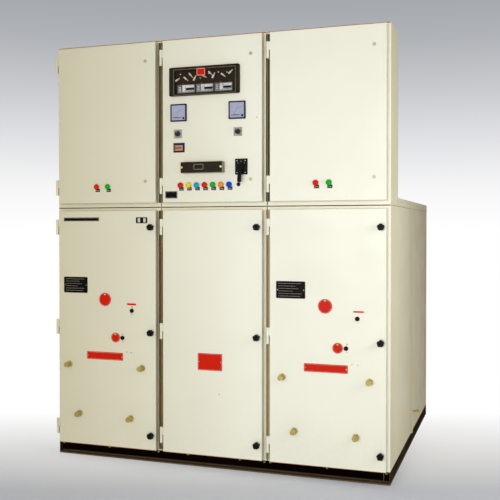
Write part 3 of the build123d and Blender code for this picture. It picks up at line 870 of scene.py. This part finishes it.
class RMU_OT_meters(bpy.types.Operator):
    """Dials of the two panel meters: card, scale, needle, lower strip and zero screw"""

    bl_idname = "rmu.meters"
    bl_label = "Meters"

    face = 6.5
    start, sweep = math.radians(94), math.radians(82)

    def execute(self, context):
        coat_node("panel_meters", "navy_plastic")
        z, half = METER_LEVEL, 40.8
        for name, x in (("left", 787), ("right", 1130)):
            card = (x - half, x + half, z - half, z + half, self.face, self.face + 0.6, 2, 0.2)
            plates(f"{name}_meter_card", PANEL, ["dial_card"], card)
            self.scale(name, x + 30, z - 30)
            self.marks(name, x, z)
            self.foot(name, x, z)
        return {"FINISHED"}

    def scale(self, name, x, z):
        sizes = option("rmu_dials")
        values = {
            "Radius": sizes.arc_radius,
            "Count": sizes.divisions + 1,
            "Length": sizes.tick,
            "Width": 0.5 * MM,
            "Start angle": self.start,
            "Sweep": self.sweep,
        }
        grow(f"{name}_meter_scale", PANEL, tick_tree, [on_front(x, z, self.face + 0.7)], values, "dial_ink")

    def marks(self, name, x, z):
        """The arc under the scale, the needle at rest and three blank marks."""
        pivot = (x + 30, z - 30)
        arc = option("rmu_dials").arc_radius / MM - 3
        steps = 24
        section = ((arc, 0.6), (arc + 0.8, 0.6), (arc + 0.8, 0.9), (arc, 0.9))
        rings = []
        for i in range(steps + 1):
            angle = self.start + self.sweep * i / steps
            ring = [(*around(*pivot, radius, angle), self.face + out) for radius, out in section]
            rings.append([on_front(*point) for point in ring])
        mesh = bmesh.new()
        skin_rings(mesh, rings)
        line(mesh, pivot, around(*pivot, 50, math.radians(172)), 0.9, self.face + 1.2, self.face + 1.7)
        for right, up, wide in ((-32, 22, 6), (-26, -6, 4), (0, 18, 5)):
            begin = (x + right, z + up)
            line(mesh, begin, (begin[0] + wide, begin[1]), 1.2, self.face + 0.6, self.face + 0.9)
        piece(f"{name}_meter_marks", mesh, PANEL, "dial_ink")

    def foot(self, name, x, z):
        """The strip below the scale with its blank line, and the zero screw's cover."""
        face = self.face
        strip = (x - 38, x + 24, z - 38, z - 22, face + 0.5, face + 1.6, 1, 0.4, 0)
        blank = (x - 34, x + 14, z - 29, z - 25.5, face + 1.5, face + 1.8, 0.6, 0.1, 1)
        cover = (x + 25, x + 36, z - 36, z - 25, face, face + 2, 1, 0.5, 1)
        plates(f"{name}_meter_foot", PANEL, ["dial_card", "black_plastic"], strip, blank, cover)


class RMU_OT_switches(bpy.types.Operator):
    """Selector switches, the control switch with its pistol grip, and the push button beside it"""

    bl_idname = "rmu.switches"
    bl_label = "Switches"

    def execute(self, context):
        coat_node("selector_switches", "satin_steel")
        for name in ("control_switch", "control_grip"):
            coat_node(name, "switch_black")
        for side, x in (("left", 782), ("right", 1134)):
            knob = f"{side}_selector_knob"
            coat_node(knob, "umber_plastic")
            pointer = (x - 0.9, x + 0.9, SELECTOR_LEVEL + 5, SELECTOR_LEVEL + 14, 21, 21.5, 0.3, 0.1)
            plates(f"{side}_selector_pointer", knob, ["white_plastic"], pointer)
            mesh = bmesh.new()
            self.marks(mesh, (x, SELECTOR_LEVEL), range(-135, 136, 45), (17.5, 21.5), 1, 2.9, 3.2)
            piece(f"{side}_selector_marks", mesh, PANEL, "dial_ink")
        x, z = CONTROL_SWITCH
        corners = [(x + dx, z + dz) for dz in (32, -32) for dx in (-23, 23)]
        screw = ((3, 6.8), (3, 8), (2.2, 8.6), (0.6, 8.8))
        rounds("control_switch_screws", PANEL, "steel", corners, screw, 16)
        mesh = bmesh.new()
        self.marks(mesh, CONTROL_SWITCH, (-45, 0, 45), (24, 30), 1.4, 6.9, 7.3)
        piece("control_switch_marks", mesh, PANEL, "pale_engraving")
        mesh = bmesh.new()
        turned(mesh, x - 17, LAMP_LEVEL, ((11, -30), (11, 0), (11, 2), (10, 3), (8.4, 3)))
        turned(mesh, x - 17, LAMP_LEVEL, ((7.6, 2.4), (7.6, 7), (6.8, 8), (1, 8.4)))
        piece("push_button", mesh, PANEL, "black_plastic")
        return {"FINISHED"}

    def marks(self, mesh, centre, bearings, radii, width, low, high):
        """Short lines round a knob, at bearings in degrees from the top."""
        for bearing in bearings:
            angle = math.radians(90 - bearing)
            ends = [around(*centre, radius, angle) for radius in radii]
            line(mesh, *ends, width, low, high)


class RMU_OT_test_block(bpy.types.Operator):
    """The test terminal block's cover with its brass thumb screws and a pale frame"""

    bl_idname = "rmu.test_block"
    bl_label = "Test block"

    def execute(self, context):
        coat_node("test_block", "olive_plastic")
        face = (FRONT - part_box("test_block")[0][1]) / MM
        z = TEST_BLOCK_LEVEL
        cover = (814, 1056, z - 30, z + 28, face - 4, face + 1, 4, 0.8)
        plates("test_block_cover", PANEL, ["brown_plastic"], cover)
        mesh = bmesh.new()
        for x in (821, 1049):
            turned(mesh, x, z, ((6.5, face + 0.6), (6.5, face + 4), (5.6, face + 5), (1.5, face + 5.4)), 24)
            line(mesh, (x - 5, z), (x + 5, z), 1.2, face + 5.2, face + 5.6)
        piece("test_block_screws", mesh, PANEL, "brass")
        mesh = bmesh.new()
        border(mesh, 893, 948, z - 13, z + 15, 1.2, face + 0.9, face + 1.5, 0, 3)
        piece("test_block_frame", mesh, PANEL, "pale_engraving")
        return {"FINISHED"}


class RMU_OT_plates(bpy.types.Operator):
    """Bare plates and labels on the doors, with engraved borders and blank ruled lines"""

    bl_idname = "rmu.plates"
    bl_label = "Plates"

    def execute(self, context):
        dark, red = ("black_laminate", "pale_engraving"), ("red_enamel", "pale_engraving")
        left, centre, right = (f"{side}_lower_door" for side in SIDES)
        self.bordered("left_name_strip", left, 57, 287, 1369, 1390, 3, dark)
        fields = [(x, x + 15, 1361, 1385, 1.5, 2, 2, 0.2, 1) for x in (534, 569)]
        plates("left_number_plate", left, dark, (523, 593, 1356, 1390, 0, 1.6, 5), *fields)
        self.ruled("left_ruled_plate", left, 57, 212, 954, 1046)
        self.ruled("right_ruled_plate", right, 1349, 1509, 956, 1047)
        self.bordered("left_red_plate", left, 207, 440, 573, 618, 5, red, 3.5, 0.9, 3)
        self.bordered("right_red_plate", right, 1502, 1737, 573, 617, 5, red, 3.5, 0.9, 3)
        self.bordered("centre_red_plate", centre, 899, 1042, 547, 641, 5, red, 3.5, 0.9, 3)
        plates("left_key_label", left, red, (465, 522, 891, 902, 0, 1.6, 1))
        plates("right_key_label", right, red, (1765, 1820, 892, 900, 0, 1.6, 1))
        self.bordered("centre_name_plate", PANEL, 705, 777, 1494, 1533, 2, dark)
        bars = ((803, 1769, 1775), (772, 1779, 1781), (772, 1762, 1764))
        rows = ((755, 822, 1747, 1800, 0, 3, 2, 0.5, 0), (762, 811, 1757, 1787, 2.9, 3.3, 1, 0.2, 1))
        rows += tuple((762, *bar, 3.2, 3.6, 0.5, 0.2, 0) for bar in bars)
        plates("copper_plate", PANEL, ("navy_plastic", "copper_field"), *rows)
        return {"FINISHED"}

    def bordered(self, name, body, x0, x1, z0, z1, radius, finishes, inset=3, width=0.7, bend=2):
        """A plate with a thin pale border some way in from its edge."""
        mesh = bmesh.new()
        plate(mesh, x0, x1, z0, z1, 0, 1.6, radius)
        border(mesh, x0 + inset, x1 - inset, z0 + inset, z1 - inset, width, 1.5, 1.8, 1, bend)
        piece(name, mesh, body, *finishes)

    def ruled(self, name, body, x0, x1, z0, z1):
        """A record plate with blank ruled lines."""
        margin, pitch = 12, 13.4
        mesh = bmesh.new()
        plate(mesh, x0, x1, z0, z1, 0, 1.6, 6)
        for row, share in enumerate((0.94, 0.7, 0.82, 0.6, 0.94, 0.88)):
            start = (x0 + margin, z1 - margin - row * pitch)
            stop = (start[0] + (x1 - x0 - 2 * margin) * share, start[1])
            line(mesh, start, stop, 0.8, 1.5, 1.8, 1)
        piece(name, mesh, body, "black_laminate", "pale_engraving")


class RMU_OT_door_fittings(bpy.types.Operator):
    """Hand knobs, swing covers, key interlocks, hexagon bolts, locks and the earth stud"""

    bl_idname = "rmu.door_fittings"
    bl_label = "Door fittings"

    def execute(self, context):
        for side in SIDES:
            coat_node(f"{side}_door_locks", "lock_metal")
            for level in ("top", "middle", "foot"):
                self.knob_cap(f"{side}_{level}_knob")
        coat_node("earth_stud", "brass")
        for side in ("left", "right"):
            coat_node(f"{side}_door_bolts", "yellow_zinc")
            coat_node(f"{side}_key_locks", "black_plastic")
            for level in ("high", "low"):
                self.swing_cover(f"{side}_{level}_cover")
        return {"FINISHED"}

    def knob_cap(self, name):
        """The knob's moulding and the black insert in its middle."""
        coat_node(name, "black_plastic")
        x0, x1, z0, z1 = extent(name)
        cap = ((5, KNOB_REACH - 1), (5, KNOB_REACH), (4, KNOB_REACH + 0.6), (1, KNOB_REACH + 0.7))
        middle = ((x0 + x1) / 2, (z0 + z1) / 2 + 0.4)
        rounds(f"{name}_insert", name, "black_laminate", [middle], cap, 20)

    def swing_cover(self, name):
        """The red disc, the rivet it turns on and its pale ring."""
        coat_node(name, "red_enamel")
        x0, x1, z0, z1 = extent(name)
        x, z, reach = (x0 + x1) / 2, (z0 + z1) / 2, (x1 - x0) / 2
        rivet = ((6, 3.2), (6, 5.4), (4.8, 6.6), (2.6, 7.2), (0.6, 7.4))
        rounds(f"{name}_pivot", name, "brass", [(x, z1 - 9)], rivet, 24)
        section = ((3, 3.2), (3, 3.5), (4, 3.5), (4, 3.2))
        mesh = bmesh.new()
        skin_rings(mesh, [circle(x, z, reach - inner, out, 64) for inner, out in section], closed=True)
        piece(f"{name}_ring", mesh, name, "pale_engraving")


class RMU_OT_fasteners(bpy.types.Operator):
    """Screws on doors, covers and lids, and the hold-down nuts along the base"""

    bl_idname = "rmu.fasteners"
    bl_label = "Fasteners"

    def execute(self, context):
        self.door_screws()
        self.plate_rivets()
        self.hold_down_nuts()
        self.cover_screws()
        self.lid_bolts()
        return {"FINISHED"}

    def door_screws(self):
        left = ((496, 881), (496, 839), (437, 725), (437, 683), (463, 623), (491, 622))
        right = ((1790, 881), (1790, 837), (1732, 726), (1732, 684), (1758, 622), (1788, 621))
        front_screws("left_door_screws", "left_lower_door", left)
        front_screws("right_door_screws", "right_lower_door", right)
        front_screws("centre_door_screw", "centre_lower_door", [(1025, 419)])
        front_screws("centre_panel_screw", PANEL, [(1241, 1921)], radius=4 * MM)
        front_screws("right_panel_screw", "right_upper_door", [(1743, 1500)], material="steel")
        corners = [(x, z) for z in (2066, 2204) for x in (746, 1137)]
        front_screws("relay_screws", PANEL, corners, 20.5, material="black_laminate")

    def plate_rivets(self):
        """A rivet near each end of a plate, from the plate's two ends and its level."""
        spans = {
            "left": ((207, 440, 595), (57, 212, 1000)),
            "right": ((1502, 1737, 595), (1349, 1509, 1001)),
            "centre": ((899, 1042, 594),),
        }
        for side, rows in spans.items():
            door = f"{side}_lower_door"
            spots = [(x, z) for x0, x1, z in rows for x in (x0 + 8, x1 - 8)]
            front_screws(f"{door}_plate_rivets", door, spots, 2, 1.8 * MM, 0.8 * MM, "steel")

    def hold_down_nuts(self):
        """Nuts on the lower side of the top flanges of the front and rear channels."""
        sizes = option("rmu_fasteners")
        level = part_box("base_front_channel")[1][2] - 11 * MM
        run = (18, 322, 633, 815, 1124, 1266, 1299, 1614, 1929)
        nut = ("down", sizes.nut_radius, sizes.nut_height, 6, 1, "yellow_zinc")
        for name, y in (("front", FRAME_FACE + 20 * MM), ("rear", REAR - 20 * MM)):
            spots = [Vector((LEFT + x * MM, y, level)) for x in run]
            screws(f"{name}_hold_down_nuts", "root", spots, *nut)

    def cover_screws(self):
        """Five flush screws along both edges of each rear cover."""
        sizes = option("rmu_fasteners")
        _, _, foot, top = extent("rear_covers")
        levels = [foot + 30 + step * (top - foot - 60) / 4 for step in range(5)]
        columns = [x for x0, x1 in BAYS for x in (x0 + 16, x1 - 16)]
        spots = [Vector((LEFT + x * MM, REAR - 0.36 * MM, z * MM)) for x in columns for z in levels]
        head = (sizes.cover_radius, sizes.cover_height, 20, 1, "steel")
        screws("rear_cover_screws", "root", spots, "rear", *head)

    def lid_bolts(self):
        for name, x in (("left", LEFT), ("right", RIGHT)):
            spots = [Vector((x, FRAME_FACE + y * MM, LID_BOLT_LEVEL * MM)) for y in (386, 1000, 1613)]
            screws(f"{name}_lid_bolts", "root", spots, name, 5 * MM, 3 * MM, 16, 0.8, "steel")


CAMERA_PLACE = (1.5898, -4.9424, 1.3189)
CAMERA_TILT = 89.25
CAMERA_TURN = 18.583


class RMU_OT_studio(bpy.types.Operator):
    """Camera at the photograph's place, pale floor and backdrop, and soft lamps"""

    bl_idname = "rmu.studio"
    bl_label = "Studio"

    def execute(self, context):
        scene = context.scene
        scene.view_settings.view_transform = "Standard"
        lens = bpy.data.cameras.new("camera")
        lens.lens = 57.22
        lens.shift_y = -0.0195
        lens.dof.use_dof = False
        lens.clip_end = 200
        camera = linked("camera", lens)
        camera.location = CAMERA_PLACE
        camera.rotation_euler = (math.radians(CAMERA_TILT), 0, math.radians(CAMERA_TURN))
        scene.camera = camera
        self.lamps()
        self.floor()
        self.sky(scene)
        return {"FINISHED"}

    def lamps(self):
        light = option("rmu_light")
        setups = (
            ("key", light.key, (0.35, -6.3, 1.15), (0.0, -0.8, 1.1), 3.2),
            ("side", light.side, (2.6, -1.5, 1.6), (0.95, -0.7, 1.2), 0.9),
        )
        for name, power, place, aim, size in setups:
            lamp = bpy.data.lights.new(name, "AREA")
            lamp.energy = power
            lamp.size = size
            made = linked(name, lamp)
            made.location = place
            made.rotation_euler = (Vector(aim) - Vector(place)).to_track_quat("-Z", "Y").to_euler()

    def floor(self):
        mesh = bmesh.new()
        bmesh.ops.create_grid(mesh, x_segments=2, y_segments=2, size=60)
        data = bpy.data.meshes.new("floor")
        mesh.to_mesh(data)
        mesh.free()
        data.materials.append(self.floor_finish())
        made = linked("floor", data)

    def floor_finish(self):
        """Pale paper that turns to an even white glow behind the object."""
        made, tree, skin = shader("floor_paper")
        place = add(tree, "ShaderNodeTexCoord").outputs["Object"]
        turn = {"Vector": place, "Rotation": (0, 0, math.radians(-CAMERA_TURN))}
        spot = add(tree, "ShaderNodeMapping", turn).outputs["Vector"]
        away = add(tree, "ShaderNodeSeparateXYZ", {"Vector": spot}).outputs["Y"]
        stops = ((0, rgb(206, 208, 216)), (0.3, rgb(216, 218, 225)), (0.5, rgb(236, 236, 239)))
        stops += ((0.7, (1, 1, 1)),)
        tones = blend_tones(tree, between(tree, away, 0, 1, -1.9, 0.6), stops)
        feed(tree, skin, {"Base Color": tones, "Roughness": 1, "Specular IOR Level": 0})
        glow = add(tree, "ShaderNodeEmission").outputs["Emission"]
        far = maths(tree, "MULTIPLY", between(tree, away, 0, 1, -1.2, 0.5), self.seen(tree))
        self.join(tree, far, skin.outputs["BSDF"], glow, "Material Output")
        return made

    def seen(self, tree):
        """One for rays from the camera, a gloss or a glass."""
        rays = add(tree, "ShaderNodeLightPath").outputs
        first = maths(tree, "MAXIMUM", rays["Is Camera Ray"], rays["Is Glossy Ray"])
        return maths(tree, "MAXIMUM", first, rays["Is Transmission Ray"])

    def join(self, tree, factor, first, second, output):
        """Two shaders mixed by the factor into the output."""
        mix = add(tree, "ShaderNodeMixShader", {"Fac": factor, 1: first, 2: second})
        tree.links.new(mix.outputs["Shader"], tree.nodes[output].inputs["Surface"])

    def sky(self, scene):
        world = bpy.data.worlds.new("backdrop")
        world.use_nodes = True
        scene.world = world
        tree = world.node_tree
        even = tree.nodes["Background"]
        feed(tree, even, {"Color": (1, 1, 1, 1), "Strength": option("rmu_light").sky})
        way = add(tree, "ShaderNodeTexCoord").outputs["Generated"]
        up = add(tree, "ShaderNodeSeparateXYZ", {"Vector": way}).outputs["Z"]
        height = between(tree, up, 0, 1, 0, 0.3)
        stops = (
            (0, (1, 1, 1)),
            (0.17, rgb(246, 246, 246)),
            (0.38, rgb(223, 224, 228)),
            (0.57, rgb(200, 201, 205)),
            (0.76, rgb(176, 179, 184)),
            (0.97, rgb(160, 165, 171)),
        )
        shown = add(tree, "ShaderNodeBackground", {"Color": blend_tones(tree, height, stops)})
        plain, shown = (node.outputs["Background"] for node in (even, shown))
        self.join(tree, self.seen(tree), plain, shown, "World Output")


OPERATORS = (
    RMU_OT_studio,
    RMU_OT_sheet_metal,
    RMU_OT_joints,
    RMU_OT_lamps,
    RMU_OT_relay,
    RMU_OT_meters,
    RMU_OT_switches,
    RMU_OT_test_block,
    RMU_OT_plates,
    RMU_OT_door_fittings,
    RMU_OT_fasteners,
)
GROUPS = (
    ("rmu_paint", PaintColours),
    ("rmu_fasteners", FastenerSizes),
    ("rmu_dials", DialSizes),
    ("rmu_light", StudioLight),
)


class RMU_PT_panel(bpy.types.Panel):
    """The ring main unit's colours, sizes and pieces"""

    bl_idname = "RMU_PT_panel"
    bl_label = "Ring main unit"
    bl_space_type = "VIEW_3D"
    bl_region_type = "UI"
    bl_category = "Switchgear"

    def draw(self, context):
        for attribute, group in GROUPS:
            box = self.layout.box()
            for name in group.__annotations__:
                box.prop(getattr(context.scene, attribute), name)
        for operator in OPERATORS:
            self.layout.operator(operator.bl_idname)


def register():
    for attribute, group in GROUPS:
        bpy.utils.register_class(group)
        setattr(bpy.types.Scene, attribute, PointerProperty(type=group))
    for operator in OPERATORS:
        bpy.utils.register_class(operator)
    bpy.utils.register_class(RMU_PT_panel)


def unregister():
    bpy.utils.unregister_class(RMU_PT_panel)
    for operator in reversed(OPERATORS):
        bpy.utils.unregister_class(operator)
    for attribute, group in reversed(GROUPS):
        delattr(bpy.types.Scene, attribute)
        bpy.utils.unregister_class(group)


def main():
    register()
    for operator in OPERATORS:
        group, name = operator.bl_idname.split(".")
        getattr(getattr(bpy.ops, group), name)()


if __name__ == "__main__":
    main()
